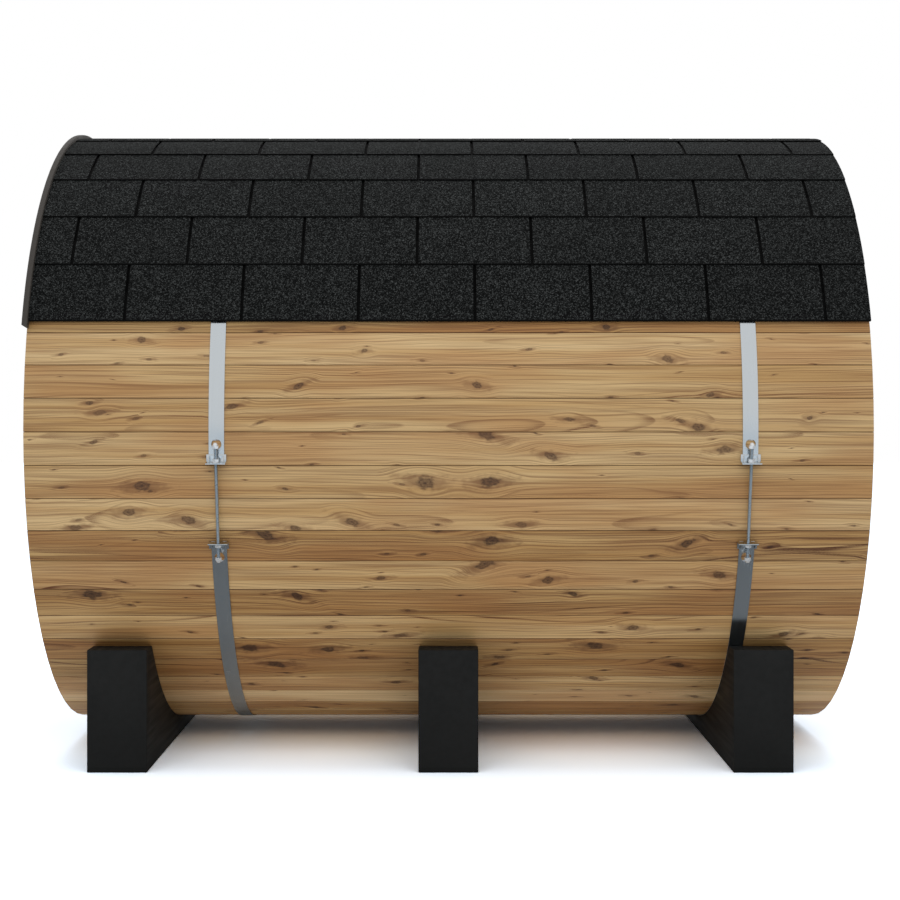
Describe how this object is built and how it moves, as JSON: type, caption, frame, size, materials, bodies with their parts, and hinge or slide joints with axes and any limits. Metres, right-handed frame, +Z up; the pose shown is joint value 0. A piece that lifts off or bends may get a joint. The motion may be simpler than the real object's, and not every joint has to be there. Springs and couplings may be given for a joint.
{
  "type": "barrel sauna",
  "caption": "Horizontal timber barrel sauna with a shingled roof and tensioned steel hoops, resting on saddle cradles.",
  "frame": {"origin": "on the ground, in the middle of the middle cradle's foot, under the barrel's axis", "axes": "+X along the barrel from the door end to the back, +Z up, -Y towards the near side"},
  "size_m": [2.414, 1.9794, 1.981],
  "materials": {
    "stave_timber": "oiled knotty softwood",
    "wall_timber": "oiled knotty softwood boards",
    "door_timber": "planed softwood",
    "floor_timber": "planed softwood",
    "roof_shingle": "granule-faced bitumen",
    "edge_trim": "matt warm grey",
    "hoop_steel": "bright flat strap",
    "zinc_steel": "zinc plated",
    "hinge_steel": "satin",
    "black_timber": "matt black paint",
    "tinted_glass": "toughened, grey-brown tint"
  },
  "bodies": {
    "root": {"back_cradle": "black_timber", "back_far_brackets": "zinc_steel", "back_far_nuts": "zinc_steel", "back_far_rod": "zinc_steel", "back_lower_strap": "hoop_steel", "back_near_brackets": "zinc_steel", "back_near_nuts": "zinc_steel", "back_near_rod": "zinc_steel", "back_upper_strap": "hoop_steel", "back_wall": "wall_timber", "bottom_staves": "stave_timber", "door_glass": "tinted_glass", "door_handle": "door_timber", "door_head": "door_timber", "door_hinges": "hinge_steel", "door_jambs": "door_timber", "door_sill": "door_timber", "far_crown_staves": "stave_timber", "far_lower_staves": "stave_timber", "far_shingles": "roof_shingle", "far_side_staves": "stave_timber", "far_upper_staves": "stave_timber", "floor_bearers": "floor_timber", "floor_deck": "floor_timber", "front_cradle": "black_timber", "front_far_brackets": "zinc_steel", "front_far_nuts": "zinc_steel", "front_far_rod": "zinc_steel", "front_lower_strap": "hoop_steel", "front_near_brackets": "zinc_steel", "front_near_nuts": "zinc_steel", "front_near_rod": "zinc_steel", "front_upper_strap": "hoop_steel", "front_wall_far": "wall_timber", "front_wall_near": "wall_timber", "front_wall_over_door": "wall_timber", "front_wall_under_door": "wall_timber", "middle_cradle": "black_timber", "near_crown_staves": "stave_timber", "near_lower_staves": "stave_timber", "near_shingles": "roof_shingle", "near_side_staves": "stave_timber", "near_upper_staves": "stave_timber", "ridge_shingles": "roof_shingle", "roof_edge_trim": "edge_trim"}
  },
  "joints": []
}
